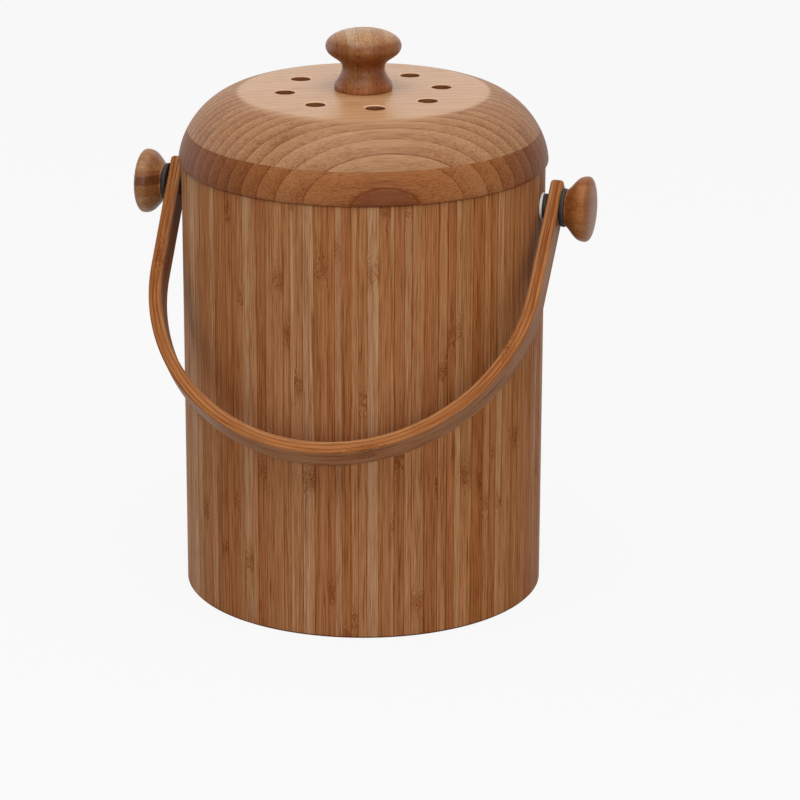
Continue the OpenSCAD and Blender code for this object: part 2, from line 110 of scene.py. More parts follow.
class PailKnobSizes(bpy.types.PropertyGroup):
    """Sizes of the three turned knobs."""

    foot_radius: length("Lid knob foot", "Radius of the lid knob's foot", 14.6 * MM)
    foot_height: length("Lid knob foot height", "Height of the bevel round the lid knob's foot", 1.2 * MM)
    neck_radius: length("Lid knob neck", "Radius of the lid knob's neck", 10.7 * MM)
    neck_height: length("Lid knob neck height", "Height of the neck's narrowest point", 11.6 * MM)
    cap_height: length("Lid knob cap height", "Height of the cap's widest point", 22.2 * MM)
    side_foot_radius: length("Side knob foot", "Radius of the side knobs' foot", 9.6 * MM)
    side_foot_height: length("Side knob foot height", "Height of the bevel round a side knob's foot", 0.8 * MM)
    side_cap_length: length("Side knob cap", "Length from its foot to its widest point", 10.2 * MM)
    insert_radius: length("Insert radius", "Radius of the brass inserts", 4.6 * MM)
    lid_insert_depth: length("Lid insert hole", "Depth of the hole in the lid knob", 17 * MM)
    side_insert_depth: length("Side insert hole", "Depth of the hole in a side knob", 10 * MM)


class PailBailSizes(bpy.types.PropertyGroup):
    """Sizes of the bent bail of three plies."""

    width: length("Width", "Width of the bent strip", 14.7 * MM)
    ply: length("Ply", "Thickness of one ply", 2.2 * MM)
    bend_radius: length("Bend radius", "Radius of the bend's innermost face", 93.8444 * MM)
    bend_drop: length("Bend drop", "Drop from the pivot to the bend's centre", 48.578 * MM)
    arm: length("Arm", "Length of an arm from the bend to its tip", 64 * MM)
    lean: angle("Lean", "How far the arms lean out from straight", math.radians(2))
    hang: angle("Hang", "Angle from straight down at which the bail rests", math.radians(44.1879))
    edge_round: length("Edge round", "Round along the strip's edges", 0.88 * MM)
    tip_round: length("Tip round", "Round at the arms' ends", 1.8 * MM)
    hole_radius: length("Hole radius", "Radius of the pivot holes", 3.06 * MM)


class PailBambooTones(bpy.types.PropertyGroup):
    """Tones of the bamboo strips. Each strip takes one of these, or a tone between two of them."""

    straw: tone("Straw", "Palest strips of the wall", (0.42, 0.20, 0.082))
    tan: tone("Tan", "Most common tone of the wall", (0.37, 0.145, 0.046))
    ginger: tone("Ginger", "Redder strips of the wall", (0.33, 0.112, 0.032))
    umber: tone("Umber", "Darkest strips of the wall", (0.22, 0.070, 0.021))


class PailStudio(bpy.types.PropertyGroup):
    """Light and camera."""

    key: power("Key light", "Power of the large low lamp at the front right", 7.9)
    top: power("Top light", "Power of the large lamp above the front", 18.6)
    side: power("Side light", "Power of the lamp at the left that lightens the wall's edge", 2.0)
    fill: number("Fill", "Strength of the even light from all round", 0.38)
    lens: number("Lens", "Focal length in millimetres on a 36 mm sensor", 158.9)


def only(*objects):
    """Leaves just these objects selected, the first one active."""
    bpy.ops.object.select_all(action="DESELECT")
    for obj in objects:
        obj.select_set(True)
    bpy.context.view_layer.objects.active = objects[0] if objects else None


def draw_line(name, points):
    """A new object, left in edit mode: one line through these points, extruded from a single vertex."""
    only()
    bpy.ops.mesh.primitive_plane_add(size=MM, location=(0, 0, 0))
    piece = bpy.context.object
    piece.name = piece.data.name = name
    bpy.ops.object.mode_set(mode="EDIT")
    bpy.ops.mesh.select_all(action="SELECT")
    bpy.ops.mesh.merge(type="CENTER")
    bpy.ops.transform.translate(value=points[0])
    for start, end in zip(points, points[1:]):
        bpy.ops.mesh.extrude_vertices_move(TRANSFORM_OT_translate={"value": Vector(end) - Vector(start)})
    return piece


def close_skin():
    """In edit mode: welds what meets and turns every face outwards."""
    bpy.ops.mesh.select_all(action="SELECT")
    bpy.ops.mesh.remove_doubles(threshold=2e-6)
    bpy.ops.mesh.normals_make_consistent(inside=False)


def turned(name, section, steps, centre=(0, 0, 0), axis=(0, 0, 1)):
    """A piece turned on the lathe: the section is drawn and spun once round the axis."""
    piece = draw_line(name, section)
    bpy.ops.mesh.select_all(action="SELECT")
    bpy.ops.mesh.spin(steps=steps, angle=math.tau, center=centre, axis=axis)
    close_skin()
    bpy.ops.object.mode_set(mode="OBJECT")
    return piece


def turned_upright(name, section, base, steps):
    """A piece turned about Z, from radii and heights above its base."""
    return turned(name, [(radius, 0.0, base + h) for radius, h in section], steps)


def turned_on_pivot(name, section, start, steps):
    """A piece turned about the pivot axis, from radii and distances to the right of its start."""
    points = [(start + h, 0.0, PIVOT_Z + radius) for radius, h in section]
    return turned(name, points, steps, centre=(0, 0, PIVOT_Z), axis=(1, 0, 0))


def mirror(copy):
    """Mirrors the active piece in the pail's middle plane, or adds a mirrored copy to it."""
    bpy.ops.object.mode_set(mode="EDIT")
    bpy.ops.mesh.select_all(action="SELECT")
    if copy:
        bpy.ops.mesh.duplicate()
    bpy.ops.transform.resize(value=(-1, 1, 1), center_override=(0, 0, 0))
    bpy.ops.mesh.select_all(action="SELECT")
    bpy.ops.mesh.normals_make_consistent(inside=False)
    bpy.ops.object.mode_set(mode="OBJECT")


def smooth(piece, degrees=35):
    """Rounded faces shade smoothly and corners stay crisp."""
    only(piece)
    bpy.ops.object.shade_smooth_by_angle(angle=math.radians(degrees))


def arc(centre, radius, start, end, count):
    """Points of an arc from one angle to another, in degrees."""
    angles = [math.radians(start + (end - start) * i / count) for i in range(count + 1)]
    return [(centre[0] + radius * math.cos(a), centre[1] + radius * math.sin(a)) for a in angles]


def sweep(a, b, c, d, count):
    """Points of a Bezier curve after its first end."""
    found = []
    for i in range(1, count + 1):
        t = i / count
        s = 1 - t
        weights = (s**3, 3 * s * s * t, 3 * s * t * t, t**3)
        found.append(tuple(sum(w * p[k] for w, p in zip(weights, (a, b, c, d))) for k in (0, 1)))
    return found


def modify(piece, kind, **settings):
    """Applies a modifier to a piece."""
    only(piece)
    step = piece.modifiers.new(kind.lower(), kind)
    for name, value in settings.items():
        setattr(step, name, value)
    bpy.ops.object.modifier_apply(modifier=step.name)


def cut(piece, cutter):
    """Cuts the second object out of the first and removes it."""
    modify(piece, "BOOLEAN", operation="DIFFERENCE", solver="EXACT", object=cutter)
    only(cutter)
    bpy.ops.object.delete()


def dress(piece, finish, body, node):
    """Gives a finished piece its material and body, and hides the node that it stands for."""
    piece.data.materials.clear()
    piece.data.materials.append(bpy.data.materials[finish])
    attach(piece, body)
    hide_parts(node)


def operation(name):
    """A method that adds a Math node for a Value and whatever it is combined with."""
    return lambda value, *others: value.make.math(name, value, *others)


class Value:
    """A number in a shader tree. Sums, differences, products and shares of it add Math nodes."""

    __add__ = operation("ADD")
    __sub__ = operation("SUBTRACT")
    __mul__ = operation("MULTIPLY")
    __truediv__ = operation("DIVIDE")
    __abs__ = operation("ABSOLUTE")

    def __init__(self, make, socket):
        self.make, self.socket = make, socket


class Recipe:
    """Adds shader nodes to one tree, so that a finish reads as a list of steps."""

    def __init__(self, tree):
        self.tree = tree
        self.shader = tree.nodes.get("Principled BSDF")

    def feed(self, node, values):
        """Gives a node its inputs: sockets are linked, and numbers and colours are set on the node."""
        for name, value in values.items():
            value = getattr(value, "socket", value)
            if isinstance(value, bpy.types.NodeSocket):
                self.tree.links.new(value, node.inputs[name])
            else:
                node.inputs[name].default_value = value

    def add(self, kind, values=None, **settings):
        node = self.tree.nodes.new("ShaderNode" + kind)
        for name, value in settings.items():
            setattr(node, name, value)
        self.feed(node, values or {})
        return node

    def math(self, operation, *values):
        return Value(self, self.add("Math", dict(enumerate(values)), operation=operation).outputs[0])

    def mix(self, factor, first, second, blend="MIX"):
        return self.add("Mix", {0: factor, 6: first, 7: second}, data_type="RGBA", blend_type=blend).outputs[2]

    def shade(self, factor, colour, red, green, blue):
        """Multiplies a colour channel by channel, as far as the factor says."""
        return self.mix(factor, colour, (red, green, blue, 1.0), "MULTIPLY")

    def band(self, value, low, high, to_low=0.0, to_high=1.0):
        """Smooth step of a value from one level to another."""
        values = {0: value, 1: low, 2: high, 3: to_low, 4: to_high}
        return Value(self, self.add("MapRange", values, interpolation_type="SMOOTHSTEP").outputs[0])

    def fade(self, value, low, high):
        """Smooth step from 1 down to 0."""
        return self.band(value, low, high, 1.0, 0.0)

    def vector(self, x, y, z):
        return self.add("CombineXYZ", {0: x, 1: y, 2: z}).outputs[0]

    def noise(self, vector, scale, detail=2.0, roughness=0.5, distortion=0.0):
        values = {"Vector": vector, "Scale": scale, "Detail": detail, "Roughness": roughness, "Distortion": distortion}
        return Value(self, self.add("TexNoise", values).outputs["Fac"])

    def split(self, value, kind="SeparateXYZ"):
        """The three numbers of a vector or a colour."""
        return [Value(self, part) for part in self.add(kind, {0: value}).outputs[:3]]

    def spot(self):
        """The piece's own coordinates in metres."""
        return self.add("TexCoord").outputs["Object"]

    def place(self):
        """The piece's own coordinates in millimetres, as three values."""
        return [part * 1000.0 for part in self.split(self.spot())]

    def away(self, x, y):
        """Distance from an axis."""
        return self.math("SQRT", x * x + y * y)

    def normal(self):
        return self.add("TexCoord").outputs["Normal"]

    def across_fibre(self, fibre):
        """How squarely a face cuts the fibres, from 0 along them to 1 across them."""
        facing = self.add("VectorMath", {0: self.normal(), 1: fibre}, operation="DOT_PRODUCT")
        return self.math("ABSOLUTE", facing.outputs["Value"])

    def grain(self):
        """Distance along a bent strip, across it and out from the bend's centre, in millimetres."""
        return self.split(self.add("Attribute", attribute_name="grain", attribute_type="GEOMETRY").outputs["Vector"])

    def paint(self, colour, roughness, height, strength, depth, plain):
        """Gives the shader its colour, roughness and bump, and what is the same all over."""
        bump = self.add("Bump", {"Height": height, "Strength": strength, "Distance": depth})
        self.feed(self.shader, {"Base Color": colour, "Roughness": roughness, "Normal": bump.outputs[0], **plain})


def new_finish(name):
    """The recipe of a new material."""
    finish = bpy.data.materials.new(name)
    finish.use_nodes = True
    return Recipe(finish.node_tree)


def rgba(colour, gain=1.0, lift=0.0):
    """A colour with its channels multiplied and raised, and with its alpha."""
    return [channel * gain + lift for channel in colour] + [1.0]


def strips_group():
    """Makes the node group of glued bamboo strips. The fibres run along them, the glue lines lie across, in mm."""
    sockets = [("INPUT", "Float", NUMBERS), ("INPUT", "Color", TONES), ("OUTPUT", "Color", ("Color",)),
               ("OUTPUT", "Float", ("Height", "Roughness"))]
    group = bpy.data.node_groups.new("bamboo_strips", "ShaderNodeTree")
    for way, kind, names in sockets:
        for name in names:
            group.interface.new_socket(name, in_out=way, socket_type="NodeSocket" + kind)
    given = group.nodes.new("NodeGroupInput").outputs
    make = Recipe(group)
    numbers = [Value(make, given[name]) for name in NUMBERS]
    along, across, through, width, unevenness, seed, spacing, lines, fibres, speckles, spread, dense, ends = numbers

    # Which strip this is, what its luck of tone and height is, and how far its edge is
    strip = across / width + seed
    cells = {"W": strip, "Scale": 1.0, "Randomness": unevenness}
    cell = make.add("TexVoronoi", cells, voronoi_dimensions="1D", feature="F1").outputs
    luck = cell["Color"]
    side = strip - cell["W"]
    border = make.add("TexVoronoi", cells, voronoi_dimensions="1D", feature="DISTANCE_TO_EDGE").outputs["Distance"]
    edge = make.math("MULTIPLY", border, width)
    tone, light, phase = make.split(luck, "SeparateColor")

    # Tone of the whole strip, closer to tan where the spread is small
    tone = (tone - 0.42) * spread + 0.42
    colour = make.mix(make.band(tone, 0.08, 0.38), given["Straw"], given["Tan"])
    colour = make.mix(make.band(tone, 0.45, 0.80), colour, given["Ginger"])
    colour = make.mix(make.band(tone, 0.86, 0.97), colour, given["Umber"])

    # A knuckle is a short tangle of fibres at a height of its own in each strip
    away = (make.math("FRACT", along / spacing + phase * 7.3) - 0.5) * spacing
    away = abs(away + (make.noise(make.vector(across, through, 0.0), 0.5) - 0.5) * 5.0)
    knuckle = make.fade(away, 2.2, 5.8)
    halo = make.fade(away, 2.0, 14.0)

    # Fibres: streaks that run the length of a strip and are pushed aside round a knuckle
    own = make.add("VectorMath", {0: luck, 1: (37.0, 53.0, 71.0)}, operation="MULTIPLY").outputs[0]
    swirl = make.noise(make.vector(across, through, along), 0.35, 2.0)
    bent = across + halo * (swirl - 0.5) * 7.0

    def stretched(wide, long, sideways=bent):
        spot = make.vector(sideways * wide, through * wide, along * long)
        return make.add("VectorMath", {0: spot, 1: own}, operation="ADD").outputs[0]

    broad = make.noise(stretched(0.30, 0.010), 1, 2)
    streak = make.noise(stretched(1.30, 0.022), 1, 3, 0.65)
    fine = make.noise(stretched(2.4, 0.07), 1, 2, 0.6)
    hair = make.fade(abs(make.noise(stretched(0.85, 0.012), 1, 1) - 0.5), 0.0, 0.035)
    dots = make.add("TexVoronoi", {"Vector": stretched(1.75, 0.06), "Scale": 1.0, "Randomness": 1.0}, feature="F1")
    dots = make.fade(dots.outputs["Distance"], 0.15, 0.55)

    # Darkness adds up from all of these, and dark bamboo is redder
    dark = ((streak - 0.5) * 1.9 + (broad - 0.5) * 0.8 + (fine - 0.5) * 1.7 + (hair - 0.1) * 0.30) * fibres
    dark = dark + (dots - 0.25) * 0.42 * (ends * 1.3 + 0.25) * speckles
    dark = dark + (light - 0.5) * 0.36 * spread + side * dense + ends * 0.42

    # The tangle of a knuckle
    loops = make.noise(stretched(0.62, 0.45, across), 1, 2, 0.55, 2.4)
    loops = make.fade(abs(loops - 0.5), 0.0, 0.07)
    dark = dark + knuckle * ((loops - 0.05) * 1.15) + halo * 0.20

    # Glue lines, crisp and not equally dark
    line = make.fade(edge, 0.08, lines * 0.05 + 0.24) * make.band(phase, 0.1, 0.8, 0.25, 1.0) * lines
    dark = dark + line * 0.65

    # The mix nodes hold their factors between 0 and 1, so only one of these acts at a time
    colour = make.shade(dark, colour, 0.52, 0.33, 0.20)
    colour = make.shade(dark * -1.0, colour, 1.30, 1.52, 1.85)

    height = (streak + fine) * -0.5 + line * -0.8 + knuckle * loops * -0.5
    roughness = make.band(fine, 0.25, 0.75, -0.05, 0.06)
    make.feed(group.nodes.new("NodeGroupOutput"), {"Color": colour, "Height": height, "Roughness": roughness})


def bamboo(name, axes, width=5.6, unevenness=0.7, seed=0.0, knuckles=330.0, lines=1.0, fibres=1.0,
           speckles=0.4, spread=1.0, dense=0.0, gain=(1.0, 1.0, 1.0), roughness=0.40, ior=1.38, extra=None):
    """A bamboo finish. axes(make) returns the along, across and through values in millimetres and the end grain."""
    make = new_finish(name)
    along, across, through, ends = axes(make)
    numbers = (along, across, through, width, unevenness, seed, knuckles, lines, fibres, speckles, spread, dense, ends)
    values = dict(zip(NUMBERS, numbers))
    for tone in TONES:
        colour = getattr(bpy.context.scene.pail_bamboo, tone.lower())
        values[tone] = [channel * share for channel, share in zip(colour, gain)] + [1.0]
    colour, height, shine = make.add("Group", values, node_tree=bpy.data.node_groups["bamboo_strips"]).outputs[:3]
    shine = make.math("ADD", shine, roughness)
    if extra:
        colour, shine = extra(make, colour, shine)
    make.paint(colour, shine, height, 0.35, 0.06 * MM, {"IOR": ior})


def stave_axes(make):
    """Round the wall: height, way round within a stave, and radius."""
    # The wall's radius, and a step from stave to stave that gives each one strips of its own
    radius, apart = 92.0, 97.0
    x, y, z = make.place()
    step = math.tau / STAVES
    round_axis = make.math("ARCTAN2", y, x)
    stave = make.math("FLOOR", round_axis / step + 0.5)
    inside = round_axis - stave * step
    stave = make.math("MODULO", stave + float(STAVES), float(STAVES))
    return z, inside * radius + stave * apart, make.away(x, y), make.across_fibre((0, 0, 1))


def board_axes(turn):
    """Across a board whose strips stand on edge, turned about Z."""

    def axes(make):
        x, y, z = make.place()
        cos, sin = math.cos(turn), math.sin(turn)
        return x * cos + y * sin, x * sin - y * cos, z, make.across_fibre((cos, sin, 0))

    return axes


def knob_axes(upright, turn):
    """Through a knob: the fibres run along its own axis."""

    def axes(make):
        x, y, z = make.place()
        first, second, along = (x, y, z) if upright else (z, y, x)
        cos, sin = math.cos(turn), math.sin(turn)
        fibre = (0, 0, 1) if upright else (1, 0, 0)
        return along, first * cos + second * sin, second * cos - first * sin, make.across_fibre(fibre)

    return axes


def ply_axes(make):
    """Along the bent strip, from the piece's own grain attribute."""
    return *make.grain(), 0.0


def wall_painted_sheen_and_shade(make, colour, shine):
    """Painted light on the wall: a painted sheen pales the staves at the left edge, painted shade makes those at the
    right darker and more golden, and a painted shadow darkens the foot where the wall stands on the table.
    """
    # The painted light lies across the camera's view, which is turned by about this much
    turn = 0.25
    x, y, height = make.place()
    reach = x * math.cos(turn) + y * math.sin(turn)
    # Painted sheen: the staves at the left edge are paled, as if they mirrored the white backdrop
    left = make.fade(reach, -90.5, -68.0)
    # Painted shade: the staves at the right are made darker and more golden
    right = make.band(reach, 36.0, 50.0) * make.fade(reach, 72.0, 84.0)
    # Painted shadow: a dark line along the foot where the wall stands on the table
    foot = make.fade(height, 0.5, 1.3)
    colour = make.shade(left, colour, 1.14, 1.34, 1.60)
    colour = make.shade(right, colour, 0.99, 0.945, 0.82)
    return make.shade(foot, colour, 0.40, 0.34, 0.30), shine


def ply_glue(make, colour, shine):
    """Dark glue lines between the bail's plies, on their edges, which are redder than the strip's faces."""
    sizes = bpy.context.scene.pail_bail
    out = make.grain()[2]
    gaps = [abs(out - (sizes.bend_radius + joint * sizes.ply) * 1000) for joint in (1, 2)]
    line = make.band(make.math("MINIMUM", *gaps), 0.05, 0.32, 0.75, 0.0)
    sideways = (0.0, math.cos(sizes.hang), -math.sin(sizes.hang))
    cut_side = make.band(make.across_fibre(sideways), 0.45, 0.85)
    colour = make.shade(cut_side, colour, 1.15, 0.91, 0.58)
    return make.shade(line, colour, 0.42, 0.30, 0.24), shine


def lid_top(make, colour, shine):
    """Painted light on the lid's top: a painted sheen makes the level top paler and plainer than the rounded side, a
    painted highlight pales the vents' rims, and painted shade darkens the vents' walls.
    """
    sizes = bpy.context.scene.pail_lid
    x, y, _ = make.place()
    away = make.away(x, y)
    lift = abs(make.split(make.normal())[2])
    ring = (sizes.vent_circle + sizes.vent_radius + 2 * MM) * 1000
    inside = make.fade(away, ring, ring + 0.5)
    # Painted shade darkens the walls inside the vents
    vent_painted_shade = make.fade(lift, 0.30, 0.75) * inside
    # Painted highlight on the rims round the vents' mouths
    rim = make.band(lift, 0.35, 0.60) * make.band(lift, 0.94, 0.999, 0.9, 0.0) * inside
    # The painted sheen on the top ends crisply at the sides and behind, and softly in front
    crisp = make.fade(away, 61.8, 65.0)
    blurred = make.fade(away, 58.5, 68.5)
    front = make.fade(y, -56.0, -36.0)
    painted_top_sheen = crisp + front * (blurred - crisp)
    # Painted sheen colour: the top paled and greyed, as if it mirrored the white backdrop
    pale = make.mix(0.55, make.shade(1.0, colour, 1.38, 1.48, 1.52), (0.59, 0.325, 0.165, 1.0))
    colour = make.mix(painted_top_sheen, colour, pale)
    colour = make.mix(rim, colour, (0.84, 0.56, 0.36, 1.0))
    return make.shade(vent_painted_shade, colour, 0.48, 0.32, 0.24), shine - painted_top_sheen * 0.2


def lid_edge_shade_and_strip(make, colour, shine):
    """The lower board's outermost strip is darker and redder, and painted shade darkens and reddens the board towards
    its sides.
    """
    sizes = bpy.context.scene.pail_lid
    turn = sizes.turn - sizes.skew
    x, y, _ = make.place()
    reach = x * math.sin(turn) - y * math.cos(turn)
    # Painted shade: the board darkens and reddens away from its front, towards its sides
    colour = make.shade(make.fade(reach, 52.0, 82.0), colour, 0.72, 0.64, 0.58)
    return make.shade(make.band(reach, 92.0, 92.3), colour, 0.55, 0.42, 0.38), shine


def knob_strip(make, colour, shine):
    """One dark strip runs through the left knob just above its axis."""
    rise = make.place()[2] - PIVOT_Z * 1000
    strip = make.band(rise, 1.0, 1.3) * make.fade(rise, 5.0, 6.5)
    return make.shade(strip, colour, 0.52, 0.44, 0.40), shine


def knob_painted_highlight(make, colour, shine):
    """Painted light on the lid knob: a painted highlight makes its top paler than its flanks, and a painted reflection
    makes its neck paler than its cap.
    """
    neck = make.fade(make.place()[2], 266.0, 272.0)
    top = make.band(make.split(make.normal())[2], 0.55, 1.0)
    # Painted reflection pales the neck, and a painted highlight pales the top
    colour = make.shade(neck, colour, 1.18, 1.14, 1.02)
    return make.shade(top, colour, 2.1, 3.6, 7.0), shine


def plastic(name, colour, roughness, mottle):
    """Moulded plastic with a faint orange peel and slow change of tone."""
    make = new_finish(name)
    spot = make.spot()
    cloud = make.noise(spot, 28.0, 3.0)
    peel = make.noise(spot, 1500.0, 2.0)
    mottled = make.mix(cloud, rgba(colour, 1 - mottle), rgba(colour, 1 + mottle))
    shine = make.band(cloud, 0.3, 0.7, roughness - 0.04, roughness + 0.05)
    make.paint(mottled, shine, peel, 0.25, 0.03 * MM, {"IOR": 1.5})


def rubber(name, colour, roughness):
    """Matt rubber or silicone with a fine powdery grain."""
    make = new_finish(name)
    dust = make.noise(make.spot(), 900.0, 3.0, 0.7)
    dusty = make.mix(make.band(dust, 0.45, 0.8), rgba(colour), rgba(colour, 2.2, 0.004))
    shine = make.band(dust, 0.3, 0.7, roughness - 0.06, roughness + 0.08)
    make.paint(dusty, shine, dust, 0.3, 0.03 * MM, {"IOR": 1.5})


def metal(name, colour, roughness):
    """Turned metal with fine marks and a little tarnish."""
    make = new_finish(name)
    spot = make.spot()
    x, y, z = make.split(spot)
    marks = make.noise(make.vector(x * 40.0, y, z), 180.0, 3.0, 0.6)
    tarnish = make.band(make.noise(spot, 240.0, 3.0), 0.5, 0.8)
    shine = make.band(marks, 0.3, 0.7, roughness - 0.06, roughness + 0.1)
    make.paint(make.mix(tarnish, rgba(colour), rgba(colour, 0.72)), shine, marks, 0.2, 0.02 * MM, {"Metallic": 1.0})


def felt(name, colour):
    """Needled felt loaded with charcoal: short crossing fibres over black grains."""
    make = new_finish(name)
    x, y, z = make.split(make.spot())
    first = make.noise(make.vector(x, y * 9.0, z), 420.0, 2.0, 0.6, 1.2)
    second = make.noise(make.vector(x * 9.0, y, z), 420.0, 2.0, 0.6, 1.2)
    fibres = make.band(make.math("MAXIMUM", first, second), 0.50, 0.72)
    needled = make.mix(fibres, rgba(colour), rgba(colour, 3.4))
    make.paint(needled, 0.95, fibres, 0.8, 0.2 * MM, {"Sheen Weight": 0.25})


class PAIL_OT_finishes(bpy.types.Operator):
    """Makes the finishes and gives the frame's own nodes theirs."""

    bl_idname = "pail.finishes"
    bl_label = "Finishes"

    def execute(self, context):
        for plain in bpy.data.materials:
            plain.name = "plain_" + plain.name
        strips_group()
        self.bamboos(context.scene.pail_lid)
        # Name, colour, roughness and, for plastics, how mottled they are
        plastic("liner_plastic", (0.80, 0.78, 0.71), 0.38, 0.05)
        plastic("handle_plastic", (0.62, 0.62, 0.58), 0.36, 0.04)
        plastic("filter_plastic", (0.055, 0.075, 0.06), 0.42, 0.06)
        plastic("nylon", (0.80, 0.79, 0.75), 0.34, 0.03)
        rubber("rubber", (0.017, 0.013, 0.011), 0.66)
        rubber("silicone", (0.50, 0.52, 0.52), 0.45)
        metal("steel", (0.58, 0.57, 0.55), 0.24)
        metal("brass", (0.72, 0.50, 0.20), 0.28)
        felt("charcoal_felt", (0.022, 0.023, 0.024))
        own = {
            "bamboo_wall": ["wall_staves"],
            "bamboo_board": ["base_board", "lid_spigot"],
            "steel": ["pivot_screws", "screw_washers", "lid_knob_screw", "lid_knob_washer"],
            "brass": ["knob_inserts", "lid_knob_insert"],
            "liner_plastic": ["liner_bucket"],
            "handle_plastic": ["liner_handle"],
            "filter_plastic": ["filter_ring", "filter_cover"],
            "silicone": ["lid_seal_ring"],
        }
        for finish, nodes in own.items():
            for node in nodes:
                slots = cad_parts[node].data.materials
                slots.clear()
                slots.append(bpy.data.materials[finish])
        return {"FINISHED"}

    def bamboos(self, lid):
        """Every finish of bamboo strips, from the wall's to the bail's."""
        boards = {"unevenness": 0.2, "fibres": 0.9, "knuckles": 300.0}
        knobs = {"width": 6.0, "speckles": 0.8, "knuckles": 900.0, "fibres": 1.3}
        bamboo("bamboo_wall", stave_axes, width=5.0, unevenness=0.85, seed=3.0, knuckles=250.0, lines=2.2,
               spread=0.62, fibres=1.5, gain=(1.05, 1.14, 1.37), roughness=0.45, ior=1.07, extra=wall_painted_sheen_and_shade)
        bamboo("bamboo_board", board_axes(0.3), width=6.4, unevenness=0.3, seed=11.0, spread=0.5, roughness=0.5)
        bamboo("bamboo_lid_top", board_axes(lid.turn), width=6.2, seed=0.21, lines=2.8, speckles=1.6,
               spread=0.36, dense=0.7, gain=(1.03, 1.27, 1.69), roughness=0.5, ior=1.35, extra=lid_top, **boards)
        bamboo("bamboo_lid_edge", board_axes(lid.turn - lid.skew), width=6.85, seed=0.213, lines=2.6,
               speckles=1.5, spread=0.4, dense=0.6, gain=(0.88, 0.85, 0.88), ior=1.18, extra=lid_edge_shade_and_strip, **boards)
        bamboo("bamboo_lid_knob", knob_axes(True, 0.35), unevenness=0.5, seed=5.3, lines=1.2, spread=0.6,
               gain=(0.67, 0.58, 0.44), roughness=0.33, ior=1.33, extra=knob_painted_highlight, **knobs)
        bamboo("bamboo_left_knob", knob_axes(False, 0.1), unevenness=0.4, seed=8.6, lines=0.9, spread=1.0,
               gain=(0.88, 0.98, 1.10), roughness=0.38, ior=1.35, extra=knob_strip, **knobs)
        bamboo("bamboo_right_knob", knob_axes(False, 0.2), unevenness=0.4, seed=14.2, lines=0.9, spread=0.7,
               gain=(0.84, 0.75, 0.58), roughness=0.38, ior=1.3, **knobs)
        bamboo("bamboo_bail", ply_axes, width=9.0, unevenness=0.5, seed=21.0, knuckles=260.0, lines=0.5,
               fibres=1.6, spread=0.5, gain=(0.87, 1.00, 1.42), ior=1.1, extra=ply_glue)


